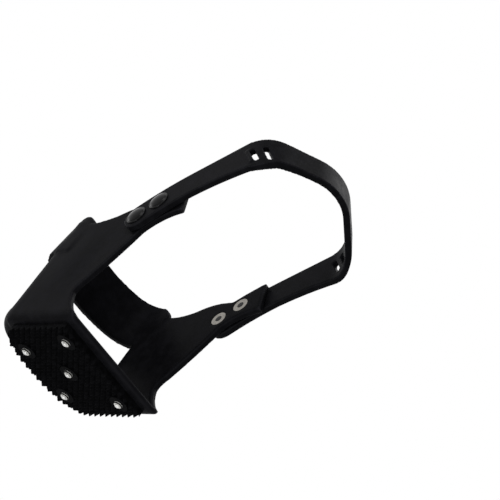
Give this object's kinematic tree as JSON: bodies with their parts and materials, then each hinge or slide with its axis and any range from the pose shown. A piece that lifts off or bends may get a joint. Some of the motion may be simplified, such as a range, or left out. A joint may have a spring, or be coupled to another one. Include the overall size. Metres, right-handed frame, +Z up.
{
  "type": "heel ice spur",
  "caption": "Slip-on rubber heel harness with a studded tread pad and an instep strap closed by press studs.",
  "frame": {"origin": "middle of the heel seat, on the top face of the sole plate, above the centre stud", "axes": "+X to the toe of the boot, +Y to the wearer's left, +Z up"},
  "size_m": [0.1627, 0.0886, 0.1407],
  "materials": {
    "harness_rubber": "moulded, satin",
    "tread_rubber": "moulded, matte",
    "strap_rubber": "moulded, satin",
    "stud_steel": "turned",
    "carbide": "ground",
    "black_cap": "gloss black",
    "snap_steel": "stamped, plated"
  },
  "bodies": {
    "root": {"heel_cup": "harness_rubber", "tread_pad": "tread_rubber", "strap_end_left": "strap_rubber", "ice_stud_rear_right": "stud_steel", "carbide_pin_rear_right": "carbide", "ice_stud_rear_left": "stud_steel", "carbide_pin_rear_left": "carbide", "ice_stud_centre": "stud_steel", "carbide_pin_centre": "carbide", "ice_stud_front_right": "stud_steel", "carbide_pin_front_right": "carbide", "ice_stud_front_left": "stud_steel", "carbide_pin_front_left": "carbide", "rivet_rear": "black_cap", "snap_stud_rear": "snap_steel", "snap_post_rear": "snap_steel", "rivet_washer_rear": "snap_steel", "rivet_front": "black_cap", "snap_stud_front": "snap_steel", "snap_post_front": "snap_steel", "rivet_washer_front": "snap_steel"},
    "strap": {"strap_middle": "strap_rubber"},
    "strap_end": {"strap_end_right": "strap_rubber", "snap_cap_rear": "black_cap", "snap_cap_front": "black_cap", "snap_socket_rear": "snap_steel", "snap_socket_front": "snap_steel"}
  },
  "joints": [
    {"name": "strap_lift", "type": "hinge", "parent": "root", "child": "strap", "pos_m": [0.08425, 0.0422, 0.10471], "axis": [-0.5592, 0, 0.829], "range_deg": [0, 100], "stiffness_Nm_per_rad": 0.02},
    {"name": "strap_unfasten", "type": "hinge", "parent": "strap", "child": "strap_end", "pos_m": [0.08425, -0.0422, 0.10471], "axis": [-0.5592, 0, 0.829], "range_deg": [0, 95], "stiffness_Nm_per_rad": 0.02}
  ]
}
